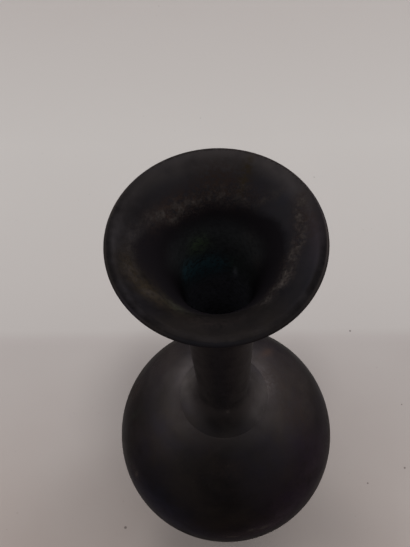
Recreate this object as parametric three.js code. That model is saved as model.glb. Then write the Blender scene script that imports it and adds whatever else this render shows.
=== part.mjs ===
// A cast bronze bottle vase: trumpet mouth, slender neck, globular body and a low ring foot.
// Millimetres, +Z up, origin at the centre of the face that the foot stands on.
//
// It is put together as such vases are: the mouth and neck are one casting, whose spigot drops
// into the body, and the body stands on a foot ring with a centring lip. A thin base plate lies
// against a step inside the foot. Each joint is closed by a ring of braze or solder on its
// hidden side.

import * as THREE from "three";

// Overall driving dimensions
const height = 225;
const mouthRadius = 30;
const bodyRadius = 46;
const bodyWidestAt = 46.5;
const footRadius = 29.5;

// Mouth and neck
const neckRadius = 9.24;
const neckGaugeAt = 105;
const neckTaper = 0.0294;
const neckWall = 2.15;
const flareDepth = 12.3;
const flareSharpness = 1.25;
const flareOffset = 1;
const flareReach = 45;
const shoulderFillet = 14;

// Lip: how far it spreads past the funnel's own curve, its rounding, how deep its flat top
// blends into the funnel, and how far its round stands out below as a bead
const lipSpread = 2.2;
const lipRound = 0.95;
const lipFlatDepth = 0.35;
const lipBead = 0.12;

// Hand finish of the mouth: how far its edge is out of round, and how deep that reaches
const rimLobes = 3;
const rimLobeHeight = 0.13;
const rimLobeTurn = 0.62;
const rimFadeDepth = 15;

// Body shell: two half spheroids on one widest circle. The floor cuts the lower one off above
// its pole, whose height is given
const bodyUpperHeight = 57.45;
const bodyPoleAt = 2.5;
const bodyWall = 3;
const collarThickness = 3.9;
const floorThickness = 3;

// Spigot joint of neck and body
const seatDepth = 1.3;
const spigotRadius = 12.5;
const fitClearance = 0.3;

// Foot ring, with the flat width that carries the body and the lip that centres it
const footHeight = 10;
const footBand = 2;
const footWall = 3.5;
const footWaistHollow = 1.1;
const footSeatWidth = 3.7;
const centringWidth = 1.9;

// Base plate and its seat in the foot
const plateStepAt = 7;
const plateThickness = 1.6;
const plateStepWidth = 3.2;
const plateDish = 0.5;

// Filler rings, and how far the spigot and the centring lip stand past theirs
const brazeLeg = 2;
const solderLeg = 1.8;
const fillerHollow = 0.375;
const fillerLand = 0.2;

// How finely the round forms are cut
const segments = 52;
const quarterSteps = 10;
const filletSteps = 8;
const flareSteps = 12;
const funnelSteps = 14;
const roundSteps = 6;
const dishSteps = 4;

// How much closer the steps of the flare and the funnel lie near the lip; 1 is even
const flareCrowding = 1.5;
const funnelCrowding = 1.7;

// How exactly a meeting point is found, and the step that a slope is measured over
const solveRounds = 60;
const slopeStep = 1e-3;

// Colour and roughness of the metals
const bronzeFinish = { color: 0x2a2322, roughness: 0.42 };
const brazeFinish = { color: 0x6b5432, roughness: 0.5 };
const solderFinish = { color: 0x77756f, roughness: 0.45 };
const metalness = 0.85;

// Material of a metal piece
function metal(finish) {
  return new THREE.MeshStandardMaterial({ ...finish, metalness });
}

// Turns a closed outline of [radius, height] points about the vertical axis
function turned(name, outline, material) {
  const closed = outline[0][0] > 0 ? [...outline, outline[0]] : outline;
  const points = closed.map(([r, z]) => new THREE.Vector2(r, z));
  const geometry = new THREE.LatheGeometry(points, segments);
  geometry.rotateX(Math.PI / 2);
  const mesh = new THREE.Mesh(geometry, material);
  mesh.name = name;
  return mesh;
}

// Evenly spaced samples of a curve, ends included
function sample(from, to, steps, curve) {
  const points = [];
  for (let i = 0; i <= steps; i++) {
    points.push(curve(from + ((to - from) * i) / steps));
  }
  return points;
}

// Root of a falling or rising function between two values
function solve(low, high, f) {
  const rising = f(high) > f(low);
  for (let i = 0; i < solveRounds; i++) {
    const middle = (low + high) / 2;
    if (f(middle) > 0 === rising) high = middle;
    else low = middle;
  }
  return (low + high) / 2;
}

// Point of a spheroid shell's outline at an angle above (or below) its widest circle
function spheroid(radius, rise, angle) {
  return [radius * Math.cos(angle), bodyWidestAt + rise * Math.sin(angle)];
}

// Angle on that outline at which it has a given radius or height
const angleAtRadius = (radius, r) => Math.acos(r / radius);
const angleAtHeight = (rise, z) => Math.asin((z - bodyWidestAt) / rise);

// Outer radius of the plain tapered neck
const neckOuter = (z) => neckRadius + neckTaper * (z - neckGaugeAt);

// Bore of the mouth and neck at a depth below the mouth plane, without the flattened lip
const boreAt = (depth) => neckOuter(height - depth) - neckWall;
const flareFall = (depth) => Math.exp(-(((depth + flareOffset) / flareDepth) ** flareSharpness));
const flareStartRadius = mouthRadius - lipSpread;
const flareSize = (flareStartRadius - boreAt(0)) / flareFall(0);
const funnelAt = (depth) => boreAt(depth) + flareSize * flareFall(depth);

// The lip turns out almost flat over its last few millimetres
const lipCentre = mouthRadius - lipRound;
const lipFlat = (depth) => (lipCentre - flareStartRadius) * Math.exp(-depth / lipFlatDepth);
const innerMouth = (depth) => [funnelAt(depth) + lipFlat(depth), height - depth];

// The wall grows towards the lip, so that the flare's outer face runs into the lip's round
const lipGap = (depth) => Math.hypot(funnelAt(depth) - lipCentre, depth - lipRound);
const lipNearest = solve(0, flareDepth, (d) => lipGap(d + slopeStep) - lipGap(d));
const lipWall = lipGap(lipNearest) + lipRound - lipBead;

// Outer face of the flare: the funnel moved out by the wall, square to the surface
function outerMouth(depth) {
  const slope = (funnelAt(depth + slopeStep) - funnelAt(depth - slopeStep)) / (2 * slopeStep);
  const wall = neckWall + (lipWall - neckWall) * flareFall(Math.max(depth, 0));
  const length = Math.hypot(1, slope);
  return [funnelAt(depth) + wall / length, height - depth + (wall * slope) / length];
}

// Fillet between neck and body: a circle that touches the tapered neck and the body spheroid
function filletOn(radius) {
  const [r, z] = spheroid(bodyRadius, bodyUpperHeight, angleAtRadius(bodyRadius, radius));
  const slopeR = r / bodyRadius ** 2;
  const slopeZ = (z - bodyWidestAt) / bodyUpperHeight ** 2;
  const length = Math.hypot(slopeR, slopeZ);
  const centre = [r + (shoulderFillet * slopeR) / length, z + (shoulderFillet * slopeZ) / length];
  return { foot: [r, z], centre };
}
const filletMiss = (radius) => {
  const { centre } = filletOn(radius);
  const away = (centre[0] - neckOuter(centre[1])) / Math.hypot(1, neckTaper);
  return away - shoulderFillet;
};
const seamRadius = solve(neckRadius, bodyRadius / 2, filletMiss);
const fillet = filletOn(seamRadius);
const seamHeight = fillet.foot[1];
const seatHeight = seamHeight - seatDepth;
const collarUnder = seatHeight - collarThickness;
const spigotEnd = collarUnder - brazeLeg - fillerLand;

// Mouth and neck casting, from the spigot up the outside, round the lip and down the bore
function mouthAndNeck() {
  const outer = [
    [spigotRadius, spigotEnd],
    [spigotRadius, seatHeight],
    [seamRadius, seatHeight],
  ];
  const [centreR, centreZ] = fillet.centre;
  const low = Math.atan2(fillet.foot[1] - centreZ, fillet.foot[0] - centreR);
  const high = -Math.PI + Math.atan(neckTaper);
  outer.push(
    ...sample(low, high, filletSteps, (a) => [
      centreR + shoulderFillet * Math.cos(a),
      centreZ + shoulderFillet * Math.sin(a),
    ]),
  );

  // The flare meets the round of the lip where it comes within the lip's radius
  const lipHeight = height - lipRound;
  const flareTop = solve(lipNearest, flareDepth, (d) => {
    const [r, z] = outerMouth(d);
    return Math.hypot(r - lipCentre, z - lipHeight) - lipRound;
  });
  const flare = (t) => outerMouth(flareTop + (flareReach - flareTop) * t ** flareCrowding);
  outer.push(...sample(1, 0, flareSteps, flare));
  const [lastR, lastZ] = outer[outer.length - 1];
  const lipStart = Math.atan2(lastZ - lipHeight, lastR - lipCentre);
  const lip = sample(lipStart, Math.PI / 2, roundSteps, (a) => [
    lipCentre + lipRound * Math.cos(a),
    lipHeight + lipRound * Math.sin(a),
  ]).slice(1);

  // Close steps near the lip, then one straight run down the tapered neck
  const inner = (t) => innerMouth(flareReach * t ** funnelCrowding);
  const funnel = sample(0, 1, funnelSteps, inner).slice(1);
  return [...outer, ...lip, ...funnel, innerMouth(height - spigotEnd)];
}

// Where the body's lower curve meets the foot, and the opening that the foot's lip centres in
const bodyLowerHeight = bodyWidestAt - bodyPoleAt;
const floorAngle = angleAtHeight(bodyLowerHeight, footHeight);
const bodyFootRadius = spheroid(bodyRadius, bodyLowerHeight, floorAngle)[0];
const floorOpeningRadius = bodyFootRadius - footSeatWidth;
const floorTop = footHeight + floorThickness;

// Body casting: spheroid shell with a seat above and a flat ring of floor below
function body() {
  const seatWall = seamRadius + fitClearance;
  const innerRadius = bodyRadius - bodyWall;
  const innerUpper = bodyUpperHeight - bodyWall;
  const innerLower = bodyLowerHeight - bodyWall;
  return [
    [floorOpeningRadius, footHeight],
    ...sample(floorAngle, 0, quarterSteps, (a) => spheroid(bodyRadius, bodyLowerHeight, a)),
    ...sample(0, angleAtRadius(bodyRadius, seatWall), quarterSteps, (a) =>
      spheroid(bodyRadius, bodyUpperHeight, a),
    ).slice(1),
    [seatWall, seatHeight],
    [spigotRadius + fitClearance, seatHeight],
    [spigotRadius + fitClearance, collarUnder],
    ...sample(angleAtHeight(innerUpper, collarUnder), 0, quarterSteps, (a) =>
      spheroid(innerRadius, innerUpper, a),
    ),
    ...sample(0, angleAtHeight(innerLower, floorTop), quarterSteps, (a) =>
      spheroid(innerRadius, innerLower, a),
    ).slice(1),
    [floorOpeningRadius, floorTop],
  ];
}

// Foot ring: a plain band, a hollowed waist up to the body, and the centring lip inside
const centringRadius = floorOpeningRadius - fitClearance;
const centringBore = centringRadius - centringWidth;
const centringTop = floorTop + brazeLeg + fillerLand;
const plateSeatRadius = centringBore + plateStepWidth;
function footRing() {
  const waist = sample(0, 1, roundSteps, (t) => {
    const straight = footRadius + (bodyFootRadius - footRadius) * t;
    const up = footBand + (footHeight - footBand) * t;
    return [straight - footWaistHollow * Math.sin(Math.PI * t), up];
  });
  return [
    [footRadius - footWall, 0],
    [footRadius, 0],
    ...waist,
    [centringRadius, footHeight],
    [centringRadius, centringTop],
    [centringBore, centringTop],
    [centringBore, plateStepAt],
    [plateSeatRadius, plateStepAt],
    [plateSeatRadius, plateStepAt - plateThickness - solderLeg],
  ];
}

// Base plate: a thin disc, dished slightly upwards inside its flat edge
const plateRadius = plateSeatRadius - fitClearance;
const plateUnder = plateStepAt - plateThickness;
function basePlate() {
  const dishRadius = centringBore - fitClearance;
  const rise = (t) => plateDish * Math.cos((Math.PI / 2) * t) ** 2;
  const dish = (base) => (t) => [dishRadius * t, base + rise(t)];
  return [
    ...sample(0, 1, dishSteps, dish(plateUnder)),
    [plateRadius, plateUnder],
    [plateRadius, plateStepAt],
    ...sample(1, 0, dishSteps, dish(plateStepAt)),
  ];
}

// A ring of filler in the corner of a wall and a face, with a hollow outer face.
// leg is its reach along both, and the signs say on which side of the corner it lies.
function fillerRing(wallRadius, faceHeight, leg, outwards, upwards) {
  const mid = leg * fillerHollow;
  return [
    [wallRadius, faceHeight],
    [wallRadius + outwards * leg, faceHeight],
    [wallRadius + outwards * mid, faceHeight + upwards * mid],
    [wallRadius, faceHeight + upwards * leg],
  ];
}

// Draws the mouth slightly out of round, as hand finishing leaves it
function outOfRound(mesh) {
  const places = mesh.geometry.getAttribute("position");
  for (let i = 0; i < places.count; i++) {
    const [x, y, z] = [places.getX(i), places.getY(i), places.getZ(i)];
    const turn = Math.atan2(y, x);
    const lobe = rimLobeHeight * Math.cos(rimLobes * (turn - rimLobeTurn));
    const grow = 1 + (lobe / mouthRadius) * Math.exp(-(height - z) / rimFadeDepth);
    places.setXY(i, x * grow, y * grow);
  }
  return mesh;
}

const vase = new THREE.Group();
vase.name = "bronze_vase";
vase.add(
  outOfRound(turned("mouth_and_neck", mouthAndNeck(), metal(bronzeFinish))),
  turned("body", body(), metal(bronzeFinish)),
  turned("foot_ring", footRing(), metal(bronzeFinish)),
  turned("base_plate", basePlate(), metal(bronzeFinish)),
  turned(
    "neck_braze_ring",
    fillerRing(spigotRadius + fitClearance, collarUnder, brazeLeg, 1, -1).reverse(),
    metal(brazeFinish),
  ),
  turned(
    "foot_braze_ring",
    fillerRing(floorOpeningRadius, floorTop, brazeLeg, 1, 1),
    metal(brazeFinish),
  ),
  turned(
    "base_solder_ring",
    fillerRing(plateRadius, plateUnder, solderLeg, -1, -1),
    metal(solderFinish),
  ),
);

export default vase;
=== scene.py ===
"""A dark patinated bronze bottle vase, standing on a pale table and seen from above its mouth."""

import math

import bpy
import numpy as np
from mathutils import Matrix, Vector


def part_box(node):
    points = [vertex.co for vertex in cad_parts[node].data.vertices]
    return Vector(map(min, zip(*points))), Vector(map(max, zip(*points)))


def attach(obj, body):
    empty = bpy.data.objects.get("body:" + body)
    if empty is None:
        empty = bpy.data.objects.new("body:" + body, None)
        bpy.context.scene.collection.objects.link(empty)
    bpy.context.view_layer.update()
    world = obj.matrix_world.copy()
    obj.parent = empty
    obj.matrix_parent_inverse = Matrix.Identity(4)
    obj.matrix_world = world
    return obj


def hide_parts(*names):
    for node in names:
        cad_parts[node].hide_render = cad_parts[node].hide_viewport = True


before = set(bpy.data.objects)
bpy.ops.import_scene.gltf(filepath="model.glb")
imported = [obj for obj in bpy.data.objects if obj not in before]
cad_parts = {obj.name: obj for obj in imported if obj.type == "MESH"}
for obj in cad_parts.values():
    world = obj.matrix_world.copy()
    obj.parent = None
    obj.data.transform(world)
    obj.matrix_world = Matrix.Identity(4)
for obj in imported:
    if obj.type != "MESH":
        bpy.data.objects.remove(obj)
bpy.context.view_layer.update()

# Lengths are in metres
MM = 0.001

# Overall dimensions
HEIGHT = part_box("mouth_and_neck")[1].z
MOUTH_RADIUS = 30 * MM
BODY_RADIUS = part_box("body")[1].x
BODY_WIDEST_AT = 46.5 * MM
FOOT_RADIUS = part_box("foot_ring")[1].x
FOOT_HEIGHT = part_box("body")[0].z

# Mouth and neck
NECK_RADIUS = 9.24 * MM
NECK_GAUGE_AT = 105 * MM
NECK_TAPER = 0.0294
NECK_WALL = 2.15 * MM
FLARE_DEPTH = 12.3 * MM
FLARE_SHARPNESS = 1.25
FLARE_OFFSET = 1 * MM
FLARE_REACH = 45 * MM
SHOULDER_FILLET = 14 * MM
SPIGOT_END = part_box("mouth_and_neck")[0].z

# Lip
LIP_SPREAD = 2.2 * MM
LIP_ROUND = 0.95 * MM
LIP_FLAT_DEPTH = 0.35 * MM
LIP_BEAD = 0.12 * MM
RIM_LOBES = 3
RIM_LOBE_HEIGHT = 0.13 * MM
RIM_LOBE_TURN = 0.62
RIM_FADE = 15 * MM

# Body shell
BODY_UPPER = 57.45 * MM
BODY_LOWER = BODY_WIDEST_AT - 2.5 * MM
BODY_WALL = 3 * MM
FLOOR_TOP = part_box("foot_braze_ring")[0].z
SEAT_DEPTH = 1.3 * MM
COLLAR_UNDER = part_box("neck_braze_ring")[1].z
SPIGOT_RADIUS = 12.5 * MM
FIT = 0.3 * MM

# Foot ring and base plate
FOOT_BAND = 2 * MM
FOOT_WALL = 3.5 * MM
FOOT_HOLLOW = 1.1 * MM
FOOT_SEAT = 3.7 * MM
CENTRING_WIDTH = 1.9 * MM
CENTRING_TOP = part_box("foot_ring")[1].z
PLATE_STEP_AT = 7 * MM
PLATE_DISH = 0.5 * MM
PLATE_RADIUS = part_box("base_plate")[1].x
PLATE_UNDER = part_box("base_plate")[0].z
SOLDER_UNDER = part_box("base_solder_ring")[0].z

# Filler rings
BRAZE_LEG = 2 * MM
FILLER_HOLLOW = 0.375

# Width of the line that the filed joint of neck and body still shows
SEAM_LINE = 0.02 * MM


# Smooth noise on points

def lattice(seed):
    """A repeatable random value at each corner of a whole-number grid."""
    table = np.random.RandomState(seed).rand(256)
    order = np.random.RandomState(seed + 1).permutation(256)

    def value(ix, iy, iz):
        return table[order[(order[(order[ix & 255] + iy) & 255] + iz) & 255]]

    return value


def noise(points, size, seed):
    """Smooth noise from 0 to 1 at each point; size is the distance between its bumps."""
    value = lattice(seed)
    scaled = points / size
    whole = np.floor(scaled).astype(int)
    part = scaled - whole
    part = part * part * (3 - 2 * part)
    total = np.zeros(len(points))
    for dx in (0, 1):
        for dy in (0, 1):
            for dz in (0, 1):
                weight = np.ones(len(points))
                for axis, step in enumerate((dx, dy, dz)):
                    weight *= part[:, axis] if step else 1 - part[:, axis]
                total += weight * value(whole[:, 0] + dx, whole[:, 1] + dy, whole[:, 2] + dz)
    return total


def cloud(points, size, seed, octaves=4):
    """Noise of several sizes added up, from 0 to 1 and mostly near a half."""
    total = np.zeros(len(points))
    share = 1.0
    whole = 0.0
    for octave in range(octaves):
        total += share * noise(points, size / 2**octave, seed + 7 * octave)
        whole += share
        share *= 0.55
    return total / whole


def ramp(values, low, high):
    """0 below low, 1 above high, and a smooth rise between them; low may be above high."""
    t = np.clip((values - low) / (high - low), 0, 1)
    return t * t * (3 - 2 * t)


# Outlines, the same curves as the solid part has

def solve(low, high, f):
    """Root of a rising or falling function between two values."""
    rising = f(high) > f(low)
    for _ in range(60):
        middle = (low + high) / 2
        if (f(middle) > 0) == rising:
            high = middle
        else:
            low = middle
    return (low + high) / 2


def spheroid(radius, rise, angle):
    return radius * math.cos(angle), BODY_WIDEST_AT + rise * math.sin(angle)


def angle_at(rise, z):
    return math.asin((z - BODY_WIDEST_AT) / rise)


def neck_outer(z):
    return NECK_RADIUS + NECK_TAPER * (z - NECK_GAUGE_AT)


def bore(depth):
    return neck_outer(HEIGHT - depth) - NECK_WALL


def flare_fall(depth):
    return math.exp(-(((depth + FLARE_OFFSET) / FLARE_DEPTH) ** FLARE_SHARPNESS))


LIP_CENTRE = MOUTH_RADIUS - LIP_ROUND
FLARE_START = MOUTH_RADIUS - LIP_SPREAD
FLARE_SIZE = (FLARE_START - bore(0)) / flare_fall(0)
SLOPE_STEP = 1e-6


def funnel(depth):
    return bore(depth) + FLARE_SIZE * flare_fall(depth)


def inner_mouth(depth):
    flat = (LIP_CENTRE - FLARE_START) * math.exp(-depth / LIP_FLAT_DEPTH)
    return funnel(depth) + flat, HEIGHT - depth


def lip_gap(depth):
    return math.hypot(funnel(depth) - LIP_CENTRE, depth - LIP_ROUND)


LIP_NEAREST = solve(0, FLARE_DEPTH, lambda d: lip_gap(d + SLOPE_STEP) - lip_gap(d))
LIP_WALL = lip_gap(LIP_NEAREST) + LIP_ROUND - LIP_BEAD


def outer_mouth(depth):
    slope = (funnel(depth + SLOPE_STEP) - funnel(depth - SLOPE_STEP)) / (2 * SLOPE_STEP)
    wall = NECK_WALL + (LIP_WALL - NECK_WALL) * flare_fall(max(depth, 0))
    length = math.hypot(1, slope)
    return funnel(depth) + wall / length, HEIGHT - depth + wall * slope / length


def fillet_on(radius):
    """The seam point at a radius on the shoulder, and the centre of the fillet that touches it."""
    r, z = spheroid(BODY_RADIUS, BODY_UPPER, math.acos(radius / BODY_RADIUS))
    slope_r, slope_z = r / BODY_RADIUS**2, (z - BODY_WIDEST_AT) / BODY_UPPER**2
    length = math.hypot(slope_r, slope_z)
    centre = r + SHOULDER_FILLET * slope_r / length, z + SHOULDER_FILLET * slope_z / length
    return (r, z), centre


def fillet_miss(radius):
    _, (r, z) = fillet_on(radius)
    return (r - neck_outer(z)) / math.hypot(1, NECK_TAPER) - SHOULDER_FILLET


SEAM_RADIUS = solve(NECK_RADIUS, BODY_RADIUS / 2, fillet_miss)
(_, SEAM_HEIGHT), FILLET_CENTRE = fillet_on(SEAM_RADIUS)
SEAT_HEIGHT = SEAM_HEIGHT - SEAT_DEPTH
FLOOR_ANGLE = angle_at(BODY_LOWER, FOOT_HEIGHT)
BODY_FOOT_RADIUS = spheroid(BODY_RADIUS, BODY_LOWER, FLOOR_ANGLE)[0]
FLOOR_OPENING = BODY_FOOT_RADIUS - FOOT_SEAT
CENTRING_RADIUS = FLOOR_OPENING - FIT
CENTRING_BORE = CENTRING_RADIUS - CENTRING_WIDTH


def along(start, end, steps, curve):
    return [curve(start + (end - start) * i / steps) for i in range(steps + 1)]


def even(points, spacing):
    """The same outline with its points about evenly spaced."""
    points = np.array(points)
    runs = np.hypot(*np.diff(points, axis=0).T)
    reach = np.concatenate([[0], np.cumsum(runs)])
    count = max(2, int(round(reach[-1] / spacing)))
    where = np.linspace(0, reach[-1], count + 1)
    return np.stack([np.interp(where, reach, points[:, k]) for k in (0, 1)], axis=1)


# Turned meshes

def turned(name, runs, segments):
    """A closed mesh turned about the vertical axis, from an outline of runs of [radius, height].

    Runs are joined end to end. An outline that starts on the axis ends on it too.
    """
    outline = []
    for run in runs:
        for r, z in run:
            if not outline or math.hypot(r - outline[-1][0], z - outline[-1][1]) > 1e-7:
                outline.append((r, z))
    if math.hypot(outline[0][0] - outline[-1][0], outline[0][1] - outline[-1][1]) < 1e-7:
        outline.pop()
    angles = np.arange(segments) * 2 * math.pi / segments
    vertices, rings = [], []
    for r, z in outline:
        start = len(vertices)
        if r < 1e-7:
            rings.append([start] * segments)
            vertices.append((0.0, 0.0, z))
        else:
            rings.append(list(range(start, start + segments)))
            vertices += [(r * math.cos(a), r * math.sin(a), z) for a in angles]
    faces = []
    for low, high in zip(rings, rings[1:] + rings[:1]):
        for i in range(segments):
            j = (i + 1) % segments
            face = [low[i], low[j], high[j], high[i]]
            face = [v for k, v in enumerate(face) if v not in face[:k]]
            if len(face) > 2:
                faces.append(face)
    mesh = bpy.data.meshes.new(name)
    mesh.from_pydata(vertices, [], faces)
    mesh.update()
    mesh.shade_smooth()
    piece = bpy.data.objects.new(name, mesh)
    bpy.context.scene.collection.objects.link(piece)
    return piece


def soften_edges(piece, degrees=35):
    """Keeps edges sharper than an angle crisp, and the rest smooth."""
    piece.data.set_sharp_from_angle(angle=math.radians(degrees))


def dress(piece, node, material):
    piece.data.materials.append(material)
    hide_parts(node)
    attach(piece, "root")


def positions(piece):
    flat = np.zeros(len(piece.data.vertices) * 3)
    piece.data.vertices.foreach_get("co", flat)
    return flat.reshape(-1, 3)


def normals(piece):
    flat = np.zeros(len(piece.data.vertices) * 3)
    piece.data.vertices.foreach_get("normal", flat)
    return flat.reshape(-1, 3)


def move(piece, points):
    piece.data.vertices.foreach_set("co", points.astype(np.float32).ravel())
    piece.data.update()


def paint(piece, name, values):
    """A named number at each vertex, which the materials read."""
    layer = piece.data.attributes.new(name, "FLOAT", "POINT")
    layer.data.foreach_set("value", np.clip(values, 0, 1).astype(np.float32))


def turn_from(angle, degrees):
    """How far each angle is from a direction, in radians, without its sign."""
    return np.abs((angle - math.radians(degrees) + math.pi) % (2 * math.pi) - math.pi)


def sector(angle, degrees, none, full):
    """0 where the turn from a direction is none degrees, 1 where it is full degrees, smooth between."""
    return ramp(turn_from(angle, degrees), math.radians(none), math.radians(full))


def spot(angle, radius, level, degrees, at, wide, tall):
    """A soft mark on a turned surface: 1 in its middle, fading over wide around and tall along."""
    across = turn_from(angle, degrees) * radius
    return np.exp(-((across / wide) ** 2) - ((level - at) / tall) ** 2)


# Materials

class Graph:
    """A small helper that adds and links shader nodes."""

    def __init__(self, name):
        self.material = bpy.data.materials.new(name)
        self.material.use_nodes = True
        self.tree = self.material.node_tree
        self.shader = self.tree.nodes["Principled BSDF"]

    def add(self, kind, **settings):
        node = self.tree.nodes.new(kind)
        for key, value in settings.items():
            setattr(node, key, value)
        return node

    def link(self, source, target):
        self.tree.links.new(source, target)

    def where(self, stretch=None):
        source = self.add("ShaderNodeTexCoord").outputs["Object"]
        if not stretch:
            return source
        mapping = self.add("ShaderNodeMapping")
        mapping.inputs["Scale"].default_value = stretch
        self.link(source, mapping.inputs["Vector"])
        return mapping.outputs["Vector"]

    def noise(self, size, detail=4.0, roughness=0.55, stretch=None, distortion=0.0):
        """Noise whose bumps are about size apart, from 0 to 1."""
        node = self.add("ShaderNodeTexNoise")
        node.inputs["Scale"].default_value = 1 / size
        node.inputs["Detail"].default_value = detail
        node.inputs["Roughness"].default_value = roughness
        node.inputs["Distortion"].default_value = distortion
        self.link(self.where(stretch), node.inputs["Vector"])
        return node.outputs["Fac"]

    def band(self, value, low, high, start=0.0, end=1.0, shape="LINEAR"):
        """The value, stretched so that low and high become start and end, and clamped."""
        node = self.add("ShaderNodeMapRange", clamp=True, interpolation_type=shape)
        node.inputs["From Min"].default_value = low
        node.inputs["From Max"].default_value = high
        node.inputs["To Min"].default_value = start
        node.inputs["To Max"].default_value = end
        self.link(value, node.inputs["Value"])
        return node.outputs["Result"]

    def maths(self, operation, first, second):
        node = self.add("ShaderNodeMath", operation=operation)
        for socket, value in zip(node.inputs, (first, second)):
            if isinstance(value, (int, float)):
                socket.default_value = value
            else:
                self.link(value, socket)
        return node.outputs[0]

    def mix(self, factor, first, second):
        """One colour over another; each is a colour or a socket."""
        node = self.add("ShaderNodeMix", data_type="RGBA")
        self.link(factor, node.inputs[0])
        for socket, value in ((node.inputs[6], first), (node.inputs[7], second)):
            if isinstance(value, tuple):
                socket.default_value = (*value, 1)
            else:
                self.link(value, socket)
        return node.outputs[2]

    def attribute(self, name):
        return self.add("ShaderNodeAttribute", attribute_name=name).outputs["Fac"]

    def bump(self, height, distance, strength=1.0, under=None):
        node = self.add("ShaderNodeBump")
        node.inputs["Distance"].default_value = distance
        node.inputs["Strength"].default_value = strength
        self.link(height, node.inputs["Height"])
        if under is not None:
            self.link(under, node.inputs["Normal"])
        return node.outputs["Normal"]


# Colours of the patina
BLACK = (0.0158, 0.0139, 0.0142)
BROWN = (0.0240, 0.0200, 0.0183)
VIOLET = (0.0181, 0.0160, 0.0197)
WORN = (0.0336, 0.0294, 0.0277)

# Colours of what lies on it; the first is black corrosion down the funnel that also stands as painted
# shade there
SOOT_AND_SHADE = (0.0068, 0.0059, 0.0071)
CHALK = (0.0320, 0.0269, 0.0252)
PALE_CHALK = (0.0588, 0.0504, 0.0462)

# How much of bare patina shines as metal does, while the rest of it is matt
METAL_SHARE = 0.75
# How much of that shine is left at a grazing angle
GRAZING_SHARE = 0.42
# How far apart the larger mottles of the two big castings are
MOTTLING = 16 * MM

# Painted layers that only change the surface's colour; three of them also paint light and shade, as
# noted at each
TINTS = (
    ("cool", (0.0142, 0.0143, 0.0185)),
    ("plum", (0.0190, 0.0140, 0.0215)),
    ("slate", (0.0370, 0.0350, 0.0500)),
    ("mauve", (0.0430, 0.0335, 0.0430)),
    # wear, and painted sheen where it lightens the body's flanks and shoulder, the neck and the back of
    # the brim
    ("wear_and_sheen", (0.0380, 0.0335, 0.0340)),
    # painted highlight
    ("painted_highlight", (0.0620, 0.0555, 0.0545)),
    ("copper", (0.0440, 0.0310, 0.0280)),
    # painted shade
    ("dark", (0.0062, 0.0055, 0.0058)),
)

# Painted layers of dull matter that lies on the patina: name, colour and how patchy it is
DEPOSITS = (
    ("rust", (0.0230, 0.0160, 0.0142), 1.0),
    ("ochre", (0.0250, 0.0190, 0.0120), 0.8),
    ("grime", (0.0205, 0.0218, 0.0232), 0.45),
    ("silt", (0.1400, 0.1400, 0.1700), 0.5),
    ("teal", (0.0225, 0.0510, 0.0640), 1.0),
    ("leaf", (0.0300, 0.0420, 0.0260), 1.0),
)
PAINTED = [entry[0] for entry in TINTS + DEPOSITS] + ["soot_and_shade", "film", "crust"]


def patina(name, ground, tint_size, glossy, marked=False):
    """Dark bronze patina on a ground colour, mottled brown and violet.

    glossy is the roughness of its smoothest places. A marked one also shows the painted layers.
    """
    g = Graph(name)
    base = g.mix(g.band(g.noise(tint_size, 5), 0.42, 0.66, 0, 0.8), ground, BROWN)
    base = g.mix(g.band(g.noise(tint_size * 1.7, 4, 0.6), 0.48, 0.7), base, VIOLET)
    fine = g.noise(0.9 * MM, 6, 0.65)
    base = g.mix(g.band(fine, 0.56, 0.8, 0, 0.45), base, WORN)
    rough = g.band(g.noise(6 * MM, 5, 0.6), 0.3, 0.75, glossy, glossy + 0.1)
    rough = g.maths("ADD", rough, g.band(fine, 0.4, 0.8, 0.0, 0.07))
    if marked:
        uneven = g.band(g.noise(5 * MM, 4), 0.3, 0.6, 0.5, 1)
        for layer, colour in TINTS:
            base = g.mix(g.maths("MULTIPLY", g.attribute(layer), uneven), base, colour)
        # black corrosion down the funnel, and painted shade there
        soot_and_shade = g.attribute("soot_and_shade")
        base = g.mix(soot_and_shade, base, SOOT_AND_SHADE)
        broken = g.noise(1.3 * MM, 6, 0.7)
        matte = g.maths("MAXIMUM", g.attribute("crust"), soot_and_shade)
        for layer, colour, patchy in DEPOSITS:
            amount = g.maths("MULTIPLY", g.attribute(layer), g.band(broken, 0.36, 0.58, 1 - patchy, 1))
            base = g.mix(amount, base, colour)
            matte = g.maths("MAXIMUM", matte, amount)
        grains = g.band(g.noise(0.45 * MM, 3, 0.6), 0.5, 0.62)
        film = g.maths("MULTIPLY", g.maths("MULTIPLY", g.attribute("film"), grains), 0.7)
        base = g.mix(film, base, CHALK)
        chalk = g.mix(g.band(g.noise(0.8 * MM, 4), 0.45, 0.68), CHALK, PALE_CHALK)
        base = g.mix(g.attribute("crust"), base, chalk)
        matte = g.maths("MAXIMUM", matte, film)
        g.link(g.band(matte, 0, 1, METAL_SHARE, 0), g.shader.inputs["Metallic"])
        rough = g.maths("ADD", rough, g.maths("MULTIPLY", matte, 0.3))
    else:
        g.shader.inputs["Metallic"].default_value = METAL_SHARE
    g.link(base, g.shader.inputs["Base Color"])
    g.link(rough, g.shader.inputs["Roughness"])
    g.shader.inputs["Specular IOR Level"].default_value = 0.0
    g.shader.inputs["Specular Tint"].default_value = (GRAZING_SHARE, GRAZING_SHARE, GRAZING_SHARE, 1)
    pits = g.bump(g.noise(0.35 * MM, 3, 0.6), 0.012 * MM, 0.5)
    g.link(g.bump(g.noise(5 * MM, 3), 0.05 * MM, 0.3, pits), g.shader.inputs["Normal"])
    return g.material


def filler_metal(name, colour, tarnish):
    """Braze or solder metal, dull and tarnished."""
    g = Graph(name)
    base = g.mix(g.band(g.noise(2.5 * MM, 5, 0.65), 0.38, 0.62), colour, tarnish)
    g.link(base, g.shader.inputs["Base Color"])
    g.link(g.band(g.noise(1 * MM, 4), 0.3, 0.7, 0.38, 0.6), g.shader.inputs["Roughness"])
    g.shader.inputs["Metallic"].default_value = 0.8
    g.link(g.bump(g.noise(0.8 * MM, 4), 0.05 * MM, 0.6), g.shader.inputs["Normal"])
    return g.material


# The skin of a casting

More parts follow.
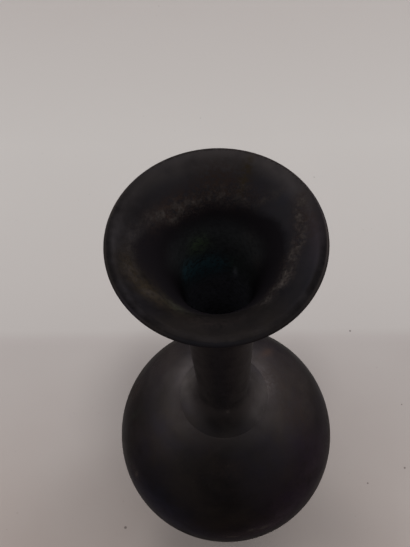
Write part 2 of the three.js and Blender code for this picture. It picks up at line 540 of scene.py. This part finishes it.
class Skin:
    """The points of a turned piece, where they lie round its axis, and the layers painted on them."""

    def __init__(self, piece):
        self.piece = piece
        self.points, self.out = positions(piece), normals(piece)
        self.angle = np.arctan2(self.points[:, 1], self.points[:, 0])
        self.radius = np.hypot(self.points[:, 0], self.points[:, 1])
        self.height = self.points[:, 2].copy()
        self.outward = self.out[:, 0] * self.points[:, 0] + self.out[:, 1] * self.points[:, 1]
        self.layers = {layer: np.zeros(len(self.points)) for layer in PAINTED}

    def push(self, distance):
        """Moves each point along its normal."""
        self.points += self.out * distance[:, None]

    def add_marks(self, marks, level, where, level_at=lambda at: at):
        """Adds soft marks to the layers, as far as where allows.

        level_at turns a mark's own height or depth into the level that the points are given in.
        """
        for layer, degrees, at, wide, tall, strength in marks:
            place = level_at(at * MM)
            mark = spot(self.angle, self.radius, level, degrees, place, wide * MM, tall * MM)
            self.layers[layer] += strength * mark * where

    def finish(self):
        """Puts the layers and the moved points on the piece."""
        for layer, amounts in self.layers.items():
            paint(self.piece, layer, amounts)
        move(self.piece, self.points)
        soften_edges(self.piece)


# The mouth and neck casting

MOUTH_SEGMENTS = 480
# The depth down to which the lip counts as the inside of the mouth
LIP_TOP = 1.2 * MM

# How far from the tide line its crust, film and rust fade, and how much film and rust there is
CRUST_FADE, FILM_FADE, RUST_FADE = 2.2 * MM, 3 * MM, 3.5 * MM
FILM_AMOUNT, RUST_AMOUNT = 1.3, 0.5
# How much the tide line wavers, and how far its crust stands out
TIDE_WAVER = 2.4 * MM
CRUST_RISE = 0.12 * MM

# The upper edge of the black: how ragged it is, and where it starts and is full
BLACK_RAGGED = 3 * MM
BLACK_STARTS, BLACK_FULL = -1.5 * MM, 2 * MM

# The soft waves of hand finishing, how far they sink into the wall, and the pitting down the bore
WAVE_HEIGHT, WAVE_SINK = 0.05 * MM, 0.03 * MM
PIT_DEPTH = 0.35 * MM

# What water left round the funnel, and where its painted shade begins. In each direction in degrees: the
# depth of the crust's line in mm, how much crust there is, and the depth in mm below which the funnel is
# black with corrosion and painted shade.
TIDE = (
    (-176, 3.5, 0.15, 5.3),
    (-163, 4.5, 0.25, 7.2),
    (-151, 5.3, 0.35, 8.4),
    (-142, 7.4, 0.2, 8.2),
    (-131, 8.8, 0.15, 8.2),
    (-120, 9.0, 0.1, 9.6),
    (-105, 8.6, 0.1, 12.6),
    (-90, 8.0, 0.1, 14.3),
    (-73, 8.0, 0.15, 12.0),
    (-57, 8.4, 0.3, 10.4),
    (-45, 8.9, 0.6, 9.4),
    (-27, 7.6, 1.0, 9.0),
    (-10, 6.8, 1.0, 8.8),
    (4, 5.2, 1.0, 8.4),
    (18, 2.7, 1.0, 8.0),
    (26, 1.3, 0.9, 8.0),
    (33, 1.5, 0.0, 8.4),
    (49, 7.6, 0.5, 9.4),
    (65, 7.4, 0.9, 9.6),
    (83, 8.0, 0.9, 9.6),
    (108, 9.0, 0.9, 10.1),
    (120, 9.2, 1.0, 10.2),
    (133, 9.0, 1.0, 9.6),
    (141, 7.4, 0.5, 8.7),
    (152, 5.5, 0.15, 7.2),
    (173, 4.0, 0.1, 4.9),
)

# Marks in the funnel: layer, direction in degrees, depth, breadth and length in mm, amount
FUNNEL_MARKS = (
    ("rust", 82, 5.0, 8.0, 5.0, 1.0),
    ("rust", 125, 7.5, 8.0, 3.0, 0.9),
    ("rust", -100, 6.5, 9.0, 4.0, 0.3),
    ("rust", 8, 1.5, 5.0, 2.5, 0.4),
    ("rust", 44, 20.0, 3.0, 4.0, 1.0),
    ("rust", 23, 21.5, 2.5, 3.0, 0.8),
    ("ochre", -140, 7.5, 7.0, 3.5, 0.6),
    ("ochre", -153, 5.0, 4.0, 2.6, 0.8),
    ("ochre", -170, 3.5, 5.0, 3.0, 0.5),
    ("ochre", 66, 3.0, 1.4, 5.5, 1.1),
    # wear and a painted highlight at the back of the brim
    ("wear_and_sheen", 84, 2.0, 7.0, 4.5, 0.7),
    ("wear_and_sheen", 112, 2.5, 8.0, 4.5, 0.5),
    # painted shade inside the front left of the funnel
    ("dark", -142, 7.0, 12.0, 6.0, 0.5),
    ("dark", -172, 3.0, 9.0, 5.0, 0.4),
    ("leaf", -129, 9.0, 4.0, 2.2, 0.25),
    ("leaf", 113, 21.8, 3.0, 3.2, 1.4),
    ("leaf", 58, 33.0, 2.0, 4.0, 0.5),
    ("teal", 147, 27.0, 2.0, 3.0, 0.7),
    ("teal", 140, 29.7, 3.0, 4.0, 1.1),
    ("teal", 112, 33.5, 5.0, 5.5, 1.2),
    ("teal", 84, 33.2, 4.0, 4.0, 0.7),
    ("film", 68, 3.0, 0.9, 4.5, 0.9),
    ("film", 170, 4.0, 7.0, 3.0, 0.2),
    ("film", -168, 3.0, 5.0, 3.0, 0.4),
    ("silt", 56, 35.4, 0.7, 2.4, 0.9),
    ("silt", 98, 51.0, 0.8, 1.2, 0.8),
    ("mauve", 4, 0.8, 9.0, 3.0, 0.5),
)

# Marks on the outside of the neck: layer, direction in degrees, height, breadth and length in mm, amount
NECK_MARKS = (
    # painted shade on the front of the fillet
    ("dark", -96, 103.5, 11.0, 4.5, 0.75),
    ("wear_and_sheen", -82, 109, 6.0, 5.0, 0.5),
    # painted highlights: a long streak down the neck and spots on both sides of its foot
    ("painted_highlight", -38, 140, 5.0, 45.0, 0.65),
    ("painted_highlight", 160, 102, 7.0, 4.0, 0.6),
    ("painted_highlight", -12, 104, 5.0, 4.0, 0.25),
    ("crust", -85, 109, 0.6, 0.8, 1.0),
)


def mouth_outline():
    centre_r, centre_z = FILLET_CENTRE
    low = math.atan2(SEAM_HEIGHT - centre_z, SEAM_RADIUS - centre_r)
    high = -math.pi + math.atan(NECK_TAPER)
    lip_height = HEIGHT - LIP_ROUND

    def lip_miss(depth):
        r, z = outer_mouth(depth)
        return math.hypot(r - LIP_CENTRE, z - lip_height) - LIP_ROUND

    def fillet(a):
        return centre_r + SHOULDER_FILLET * math.cos(a), centre_z + SHOULDER_FILLET * math.sin(a)

    def lip(a):
        return LIP_CENTRE + LIP_ROUND * math.cos(a), lip_height + LIP_ROUND * math.sin(a)

    flare_top = solve(LIP_NEAREST, FLARE_DEPTH, lip_miss)
    last_r, last_z = outer_mouth(flare_top)
    lip_start = math.atan2(last_z - lip_height, last_r - LIP_CENTRE)
    return [
        [(SPIGOT_RADIUS, SPIGOT_END), (SPIGOT_RADIUS, SEAT_HEIGHT), (SEAM_RADIUS, SEAT_HEIGHT)],
        even(along(low, high, 60, fillet), 0.8 * MM),
        even([fillet(high), outer_mouth(FLARE_REACH)], 0.6 * MM),
        even(along(FLARE_REACH, flare_top, 300, outer_mouth), 0.7 * MM),
        along(lip_start, math.pi / 2, 14, lip),
        even(along(0, FLARE_REACH, 2000, inner_mouth), 0.36 * MM),
        even([inner_mouth(FLARE_REACH), inner_mouth(HEIGHT - SPIGOT_END)], 1.5 * MM),
        [(SPIGOT_RADIUS, SPIGOT_END)],
    ]


def tide_at(angle):
    """Depth and amount of the crust, and the depth where the black begins, in each direction."""
    degrees, depths, amounts, blacks = np.array(TIDE).T
    turn = np.degrees(angle)
    depth, black = (np.interp(turn, degrees, d, period=360) * MM for d in (depths, blacks))
    return depth, np.interp(turn, degrees, amounts, period=360), black


def funnel_reach():
    """A function that gives how far down the funnel's own surface a depth lies."""
    curve = np.array(along(0, 60 * MM, 3000, inner_mouth))
    runs = np.concatenate([[0], np.cumsum(np.hypot(*np.diff(curve, axis=0).T))])
    return lambda depth: np.interp(depth, HEIGHT - curve[:, 1], runs)


def shape_rim(skin, depth):
    """Makes the hand-finished rim slightly out of round."""
    lobe = RIM_LOBE_HEIGHT * np.cos(RIM_LOBES * (skin.angle - RIM_LOBE_TURN)) / MOUTH_RADIUS
    grow = 1 + lobe * np.exp(-depth / RIM_FADE)
    skin.points[:, :2] *= grow[:, None]


def paint_tide(skin, inside, reach, reach_at):
    """Crust, film and rust along the tide line, and below it black that is corrosion and painted shade.
    """
    around = np.stack([np.cos(skin.angle), np.sin(skin.angle), np.zeros(len(skin.angle))], axis=1)
    waver = (cloud(around, 0.16, seed=11, octaves=3) - 0.5) * TIDE_WAVER
    tide, amount, black = tide_at(skin.angle)
    off = reach - reach_at(tide) - waver

    def along_tide(fade):
        return np.exp(-((off / fade) ** 2)) * amount * inside

    blobs = ramp(cloud(skin.points, 1.8 * MM, seed=31, octaves=3), 0.4, 0.56)
    grains = ramp(cloud(skin.points, 0.6 * MM, seed=23, octaves=2), 0.25, 0.55)
    ragged = (cloud(skin.points, 2.5 * MM, seed=41) - 0.5) * BLACK_RAGGED
    skin.layers["crust"] += along_tide(CRUST_FADE) * blobs * grains
    skin.layers["film"] += FILM_AMOUNT * along_tide(FILM_FADE)
    skin.layers["rust"] += RUST_AMOUNT * along_tide(RUST_FADE)
    skin.layers["soot_and_shade"] += ramp(reach - reach_at(black) - ragged, BLACK_STARTS, BLACK_FULL) * inside


def far_wall(skin):
    """1 on the wall that the camera sees down the bore, 0 on the near one."""
    return sector(skin.angle, 90, 95, 55)


def paint_funnel(skin, inside, depth):
    """What changes slowly round the funnel and down the bore."""
    far = far_wall(skin)
    brim = ramp(skin.radius, 26.5 * MM, FLARE_START) * ramp(skin.radius, MOUTH_RADIUS, LIP_CENTRE)
    sides = 0.8 * sector(skin.angle, 178, 75, 25) + 0.35 * sector(skin.angle, -10, 60, 20)
    # painted shade: darker on the brim's sides and front, and down the funnel's side walls
    skin.layers["dark"] += 0.7 * brim * sector(skin.angle, 90, 46, 126)
    skin.layers["dark"] += sides * ramp(depth, 10 * MM, 5 * MM) * inside
    cool = ramp(depth, 22 * MM, 16 * MM) * sector(skin.angle, -95, 29, 63)
    skin.layers["cool"] += 0.7 * cool * inside
    # wear and a painted highlight round the back of the brim
    wear_and_sheen = ramp(skin.radius, 23.5 * MM, 28 * MM) * sector(skin.angle, 90, 103, 52)
    skin.layers["wear_and_sheen"] += wear_and_sheen * inside
    skin.layers["grime"] += ramp(depth, 12 * MM, 20 * MM) * far * inside
    skin.layers["silt"] += ramp(depth, 28 * MM, 60 * MM) * (0.5 + 0.5 * far) * inside


def paint_neck(skin, outside, depth):
    """Wear and painted sheen on the neck, less of them on its front, which is also cooler."""
    rise = skin.height - SEAM_HEIGHT
    front = sector(skin.angle, -97, 40, 0) * outside
    neck_wear_and_sheen = ramp(rise, -1 * MM, 6 * MM) * ramp(depth, 25 * MM, 45 * MM) * outside
    skin.layers["wear_and_sheen"] += neck_wear_and_sheen * (1 - 0.5 * front)
    skin.layers["cool"] += 0.9 * front * ramp(rise, 3 * MM, 12 * MM)


def roughen_mouth(skin, inside, depth):
    """Soft waves of hand finishing, corroded pitting down the bore and raised crust."""
    rise = skin.height - SEAM_HEIGHT
    waves = (cloud(skin.points, 14 * MM, seed=3, octaves=3) - 0.5) * WAVE_HEIGHT - WAVE_SINK
    waves *= ramp(depth, 0.3 * MM, 2 * MM) * ramp(rise, 0, 3 * MM)
    corroded = ramp(depth, 8 * MM, 20 * MM) * (0.3 + 0.7 * far_wall(skin)) * inside
    corroded *= 0.5 + 0.5 * ramp(depth, 55 * MM, 35 * MM)
    pitting = corroded * (cloud(skin.points, 2.2 * MM, seed=5) - 0.5) * PIT_DEPTH * (rise >= 0)
    skin.push(waves + pitting + skin.layers["crust"] * CRUST_RISE)
    skin.points[:, 2] = np.minimum(skin.points[:, 2], HEIGHT)


def mouth_and_neck():
    piece = turned("mouth_and_neck_finish", mouth_outline(), MOUTH_SEGMENTS)
    skin = Skin(piece)
    depth = HEIGHT - skin.height
    inside = ((skin.outward < 0) | (depth < LIP_TOP)) & (skin.radius < LIP_CENTRE)
    reach_at = funnel_reach()
    reach = reach_at(depth)
    shape_rim(skin, depth)
    paint_tide(skin, inside, reach, reach_at)
    paint_funnel(skin, inside, depth)
    paint_neck(skin, ~inside, depth)
    skin.add_marks(FUNNEL_MARKS, reach, inside, reach_at)
    skin.add_marks(NECK_MARKS, skin.height, ~inside)
    roughen_mouth(skin, inside, depth)
    skin.finish()
    material = patina("patina_mouth", BLACK, MOTTLING, 0.38, True)
    dress(piece, "mouth_and_neck", material)


# The body casting

BODY_SEGMENTS = 384

# The soft waves of hand finishing, how far they sink into the wall, and the depth of the dents
BODY_WAVE_HEIGHT, BODY_WAVE_SINK = 0.08 * MM, 0.05 * MM
DENT_DEPTH = 0.05 * MM

# Marks on the body: layer, direction in degrees, height, breadth and length in mm, amount
BODY_MARKS = (
    ("copper", 45, 92.7, 1.6, 3.0, 1.0),
    ("rust", -10, 88, 9.0, 8.0, 0.35),
    ("rust", 160, 78, 8.0, 10.0, 0.3),
    ("rust", -155, 65, 4.0, 5.0, 0.6),
    ("rust", -86, 55, 14.0, 3.0, 0.5),
    # the bluish and purple marks on the lower edges are part tint and part painted sheen that lightens
    # them
    ("slate", -136, 57, 16.0, 11.0, 0.9),
    ("slate", -112, 52, 12.0, 7.0, 0.4),
    ("mauve", -90, 51, 10.0, 6.0, 0.4),
    ("mauve", -68, 55, 13.0, 8.0, 0.9),
    ("mauve", -48, 58, 14.0, 10.0, 0.6),
    ("mauve", -22, 69, 12.0, 11.0, 0.55),
    # wear and painted sheen on the flanks and shoulder, reaching the outer flanks of the highlights
    ("wear_and_sheen", 3, 76, 14.0, 12.0, 0.5),
    ("wear_and_sheen", 180, 70, 14.0, 14.0, 0.5),
    ("wear_and_sheen", -165, 62, 12.0, 10.0, 0.45),
    ("wear_and_sheen", 152, 86, 10.0, 9.0, 0.55),
    ("wear_and_sheen", 124, 90, 12.0, 8.0, 0.6),
    ("wear_and_sheen", 58, 94, 10.0, 7.0, 0.6),
    ("wear_and_sheen", 24, 86, 10.0, 8.0, 0.45),
    # painted shade: dimming the highlight beside the neck, on the front of the fillet and in a strip
    # down the front of the body
    ("dark", 10, 98, 8.0, 5.0, 0.45),
    ("dark", -100, 97, 8.0, 4.0, 0.3),
    ("dark", -95, 83, 10.0, 15.0, 0.65),
    ("cool", -132, 66, 13.0, 12.0, 1.0),
    ("plum", -56, 68, 12.0, 12.0, 0.9),
    ("plum", -30, 79, 8.0, 10.0, 0.8),
    ("crust", -153, 66, 0.8, 2.4, 0.8),
    ("crust", -91, 53, 2.8, 1.2, 1.0),
    ("crust", -81, 58, 1.6, 1.4, 0.8),
    ("crust", -74, 56.5, 2.6, 1.5, 1.0),
    ("leaf", 178, 80, 1.5, 5.0, 0.15),
)


def roughen_body(skin, outside):
    """Soft waves of hand finishing and a few shallow dents, all inside the true surface."""
    above_foot, below_seam = skin.height - FOOT_HEIGHT, SEAM_HEIGHT - skin.height
    edges = ramp(above_foot, 0, 3 * MM) * ramp(below_seam, 0.1 * MM, 3 * MM)
    waves = (cloud(skin.points, 20 * MM, seed=61, octaves=2) - 0.5) * BODY_WAVE_HEIGHT - BODY_WAVE_SINK
    dents = ramp(cloud(skin.points, 4 * MM, seed=67, octaves=2), 0.76, 0.88) * DENT_DEPTH
    skin.push((waves - dents) * edges * outside)


def paint_body(skin, outside):
    """Wear and painted sheen near the seam, a rusty mottling and scattered specks of crust."""
    skin.layers["wear_and_sheen"] += 0.5 * ramp(SEAM_HEIGHT - skin.height, 5 * MM, 0)
    skin.layers["rust"] += 0.3 * ramp(cloud(skin.points, 22 * MM, seed=79, octaves=3), 0.52, 0.7)
    specks = ramp(cloud(skin.points, 1.2 * MM, seed=71, octaves=3), 0.74, 0.8)
    specks *= ramp(cloud(skin.points, 16 * MM, seed=73, octaves=2), 0.6, 0.7)
    skin.layers["crust"] += 0.2 * specks * outside


def body():
    inner_radius = BODY_RADIUS - BODY_WALL
    inner_upper, inner_lower = BODY_UPPER - BODY_WALL, BODY_LOWER - BODY_WALL
    seat_wall = SEAM_RADIUS + SEAM_LINE
    collar_bore = SPIGOT_RADIUS + FIT
    edge = math.acos(seat_wall / BODY_RADIUS)

    def shell(radius, rise):
        return lambda a: spheroid(radius, rise, a)

    upper_inside = shell(inner_radius, inner_upper)
    lower_inside = shell(inner_radius, inner_lower)
    runs = [
        [(FLOOR_OPENING, FOOT_HEIGHT)],
        even(along(FLOOR_ANGLE, 0, 200, shell(BODY_RADIUS, BODY_LOWER)), 0.8 * MM),
        even(along(0, edge, 200, shell(BODY_RADIUS, BODY_UPPER)), 0.8 * MM),
        [(seat_wall, SEAT_HEIGHT), (collar_bore, SEAT_HEIGHT), (collar_bore, COLLAR_UNDER)],
        even(along(angle_at(inner_upper, COLLAR_UNDER), 0, 100, upper_inside), 2 * MM),
        even(along(0, angle_at(inner_lower, FLOOR_TOP), 100, lower_inside), 2 * MM),
        [(FLOOR_OPENING, FLOOR_TOP), (FLOOR_OPENING, FOOT_HEIGHT)],
    ]
    piece = turned("body_finish", runs, BODY_SEGMENTS)
    skin = Skin(piece)
    outside = skin.outward > 0
    roughen_body(skin, outside)
    paint_body(skin, outside)
    skin.add_marks(BODY_MARKS, skin.height, outside)
    skin.finish()
    dress(piece, "body", patina("patina_body", BLACK, MOTTLING, 0.3, True))


# The foot ring, the base plate and the filler rings

RING_SEGMENTS = 256


def foot_ring():
    seat_radius = PLATE_RADIUS + FIT
    edge = 0.3 * MM

    def waist(t):
        straight = FOOT_RADIUS + (BODY_FOOT_RADIUS - FOOT_RADIUS) * t
        return straight - FOOT_HOLLOW * math.sin(math.pi * t), FOOT_BAND + (FOOT_HEIGHT - FOOT_BAND) * t

    runs = [
        [(FOOT_RADIUS - FOOT_WALL, 0), (FOOT_RADIUS - edge, 0), (FOOT_RADIUS, edge)],
        [(FOOT_RADIUS, FOOT_BAND - edge)],
        even(along(0.04, 1, 60, waist), 0.5 * MM),
        [
            (CENTRING_RADIUS, FOOT_HEIGHT),
            (CENTRING_RADIUS, CENTRING_TOP),
            (CENTRING_BORE, CENTRING_TOP),
            (CENTRING_BORE, PLATE_STEP_AT),
            (seat_radius, PLATE_STEP_AT),
            (seat_radius, SOLDER_UNDER),
        ],
    ]
    piece = turned("foot_ring_finish", runs, RING_SEGMENTS)
    soften_edges(piece)
    dress(piece, "foot_ring", patina("patina_foot", BLACK, 9 * MM, 0.4))


def base_plate():
    dish_radius = CENTRING_BORE - FIT

    def dish(height):
        return lambda t: (dish_radius * t, height + PLATE_DISH * math.cos(math.pi / 2 * t) ** 2)

    runs = [
        along(0, 1, 24, dish(PLATE_UNDER)),
        [(PLATE_RADIUS, PLATE_UNDER), (PLATE_RADIUS, PLATE_STEP_AT)],
        along(1, 0, 24, dish(PLATE_STEP_AT)),
    ]
    piece = turned("base_plate_finish", runs, RING_SEGMENTS)
    soften_edges(piece)
    dress(piece, "base_plate", patina("patina_plate", BROWN, 7 * MM, 0.46))


def filler_ring(node, material, wall_radius, face_height, leg, outwards, upwards):
    """A ring of filler in the corner of a wall and a face, with a hollow outer face."""

    def hollow(t):
        fall = (1 - t) ** 2 + (4 * FILLER_HOLLOW - 1) * t * (1 - t)
        rise = t**2 + (4 * FILLER_HOLLOW - 1) * t * (1 - t)
        return wall_radius + outwards * leg * fall, face_height + upwards * leg * rise

    outline = [(wall_radius, face_height)] + along(0, 1, 10, hollow)
    if outwards * upwards < 0:
        outline.reverse()
    piece = turned(node + "_finish", [outline], RING_SEGMENTS)
    soften_edges(piece)
    dress(piece, node, material)


mouth_and_neck()
body()
foot_ring()
base_plate()
braze = filler_metal("braze", (0.14, 0.09, 0.035), (0.05, 0.035, 0.022))
solder = filler_metal("solder", (0.19, 0.18, 0.165), (0.09, 0.085, 0.075))
filler_ring("neck_braze_ring", braze, SPIGOT_RADIUS + FIT, COLLAR_UNDER, BRAZE_LEG, 1, -1)
filler_ring("foot_braze_ring", braze, FLOOR_OPENING, FLOOR_TOP, BRAZE_LEG, 1, 1)
solder_leg = PLATE_UNDER - SOLDER_UNDER
filler_ring("base_solder_ring", solder, PLATE_RADIUS, PLATE_UNDER, solder_leg, -1, -1)


# The table

TABLE_HALF = 20.0

# Its colour from front to back, darker towards the front as painted shade, with a soft step and darker
# again far back: a place in mm along TABLE_RUN, and the colour there
TABLE_RUN = (0.075, 1, 0)
TABLE_TONES = (
    (-45, (0.340, 0.291, 0.271)),
    (62, (0.357, 0.325, 0.316)),
    (66, (0.370, 0.338, 0.330)),
    (71, (0.405, 0.380, 0.370)),
    (100, (0.420, 0.396, 0.385)),
    (190, (0.442, 0.422, 0.410)),
    (310, (0.375, 0.347, 0.336)),
)
# Paler patches and dust on it
TABLE_PATCHES = (0.410, 0.388, 0.378)
TABLE_DUST = (0.16, 0.14, 0.13)

# Where the vase shades the table most: place and reach in mm, and amount
TABLE_SHADES = (
    (-33, 33, 50, 0.5),
    (-30, 52, 30, 0.25),
    (-24, -40, 24, 0.42),
    (6, -44, 34, 0.5),
    (36, -38, 34, 0.3),
    (62, -46, 32, 0.15),
    (34, 40, 32, 0.3),
)
SHADE_COLOUR = (0.118, 0.104, 0.1)

# Specks on the table: place in mm and radius in mm
TABLE_SPECKS = ((-51, -28, 0.8), (70, 64, 0.6), (67, -16, 0.5), (86, -10, 0.6), (90, 22, 0.4))
SPECK_COLOUR = (0.07, 0.05, 0.05)


def table_top():
    corners = [(TABLE_HALF * x, TABLE_HALF * y, 0) for x, y in ((-1, -1), (1, -1), (1, 1), (-1, 1))]
    mesh = bpy.data.meshes.new("table")
    mesh.from_pydata(corners, [], [(0, 1, 2, 3)])
    table = bpy.data.objects.new("table", mesh)
    bpy.context.scene.collection.objects.link(table)
    g = Graph("table_white")
    run = g.add("ShaderNodeVectorMath", operation="DOT_PRODUCT")
    run.inputs[1].default_value = TABLE_RUN
    g.link(g.where(), run.inputs[0])
    base = TABLE_TONES[0][1]
    for (start, _), (end, tone) in zip(TABLE_TONES, TABLE_TONES[1:]):
        base = g.mix(g.band(run.outputs["Value"], start * MM, end * MM), base, tone)
    base = g.mix(g.band(g.noise(70 * MM, 3), 0.35, 0.65, 0, 0.2), base, TABLE_PATCHES)
    dusty = g.band(g.noise(22 * MM, 2), 0.5, 0.6)
    dust = g.maths("MULTIPLY", g.band(g.noise(1.6 * MM, 1), 0.74, 0.8), dusty)
    base = g.mix(g.maths("MULTIPLY", dust, 0.4), base, TABLE_DUST)

    def away_from(x, y):
        away = g.add("ShaderNodeVectorMath", operation="DISTANCE")
        g.link(g.where(), away.inputs[0])
        away.inputs[1].default_value = (x * MM, y * MM, 0)
        return away.outputs["Value"]

    for x, y, reach, amount in TABLE_SHADES:
        shade = g.band(away_from(x, y), 0, reach * MM, amount, 0, "SMOOTHSTEP")
        base = g.mix(shade, base, SHADE_COLOUR)
    for x, y, radius in TABLE_SPECKS:
        speck = g.band(away_from(x, y), 0.6 * radius * MM, radius * MM, 0.8, 0)
        base = g.mix(speck, base, SPECK_COLOUR)
    g.link(base, g.shader.inputs["Base Color"])
    g.shader.inputs["Roughness"].default_value = 0.6
    mesh.materials.append(g.material)


table_top()


# Camera, from the photograph: its focal length, pitch and roll, how far ahead the middle of the mouth
# lies, and how far to the right and down it falls, as shares of that distance

IMAGE_WIDTH, IMAGE_HEIGHT = 410, 547
FOCAL_PIXELS = 880
PITCH = math.radians(63.15)
ROLL = math.radians(4.49)
MOUTH_DISTANCE = 232.6 * MM
MOUTH_RIGHT, MOUTH_DOWN = 0.01258, -0.03763


def camera():
    ahead = Vector((0, math.cos(PITCH), -math.sin(PITCH)))
    down = Vector((0, -math.sin(PITCH), -math.cos(PITCH)))
    right = Vector((1, 0, 0))
    image_right = right * math.cos(ROLL) + down * math.sin(ROLL)
    image_down = -right * math.sin(ROLL) + down * math.cos(ROLL)
    mouth = Vector((0, 0, HEIGHT))
    place = mouth - MOUTH_DISTANCE * (image_right * MOUTH_RIGHT + image_down * MOUTH_DOWN + ahead)
    data = bpy.data.cameras.new("camera")
    data.sensor_width = 36
    data.lens = data.sensor_width * FOCAL_PIXELS / max(IMAGE_WIDTH, IMAGE_HEIGHT)
    data.clip_start = 0.01
    eye = bpy.data.objects.new("camera", data)
    turn = Matrix((image_right, -image_down, -ahead)).transposed()
    eye.matrix_world = Matrix.Translation(place) @ turn.to_4x4()
    bpy.context.scene.collection.objects.link(eye)
    bpy.context.scene.camera = eye


camera()


# Light: a room that glows softly from above and from three sides, and two windows behind the vase.
# Each glow has an azimuth and a rise in degrees, a sharpness and a strength.

GLOWS = (
    (0, 90, 5, 0.36),
    (0, 10, 6, 1.36),
    (60, 10, 6, 2.26),
    (120, 10, 6, 1.3),
    (180, 10, 6, 1.1),
    (300, 10, 6, 0.12),
    (0, 42, 6, 0.55),
    (180, 42, 6, 0.8),
    (270, 42, 6, 0.43),
    (127, 21, 60, 4.0),
    (34, 28, 60, 9.0),
)


def maths_node(tree, operation, source, *values):
    node = tree.nodes.new("ShaderNodeMath")
    node.operation = operation
    tree.links.new(source, node.inputs[0])
    for socket, value in zip(node.inputs[1:], values):
        if isinstance(value, (int, float)):
            socket.default_value = value
        else:
            tree.links.new(value, socket)
    return node.outputs[0]


def glow(tree, direction, azimuth, rise, sharpness, strength):
    """Light that is strongest from one direction: strength * exp(sharpness * (cosine - 1))."""
    turn, lift = math.radians(azimuth), math.radians(rise)
    cosine = tree.nodes.new("ShaderNodeVectorMath")
    cosine.operation = "DOT_PRODUCT"
    cosine.inputs[1].default_value = (
        math.cos(turn) * math.cos(lift),
        math.sin(turn) * math.cos(lift),
        math.sin(lift),
    )
    tree.links.new(direction, cosine.inputs[0])
    power = maths_node(tree, "MULTIPLY_ADD", cosine.outputs["Value"], sharpness, -sharpness)
    return maths_node(tree, "MULTIPLY", maths_node(tree, "EXPONENT", power), strength)


def room():
    world = bpy.data.worlds.new("room")
    bpy.context.scene.world = world
    world.use_nodes = True
    tree = world.node_tree
    sky = tree.nodes["Background"]
    direction = tree.nodes.new("ShaderNodeTexCoord").outputs["Generated"]
    total = 0.0
    for values in GLOWS:
        total = maths_node(tree, "ADD", glow(tree, direction, *values), total)
    tree.links.new(total, sky.inputs["Strength"])
    sky.inputs["Color"].default_value = (1.0, 0.98, 0.97, 1)


room()

bpy.context.scene.view_settings.view_transform = "Standard"
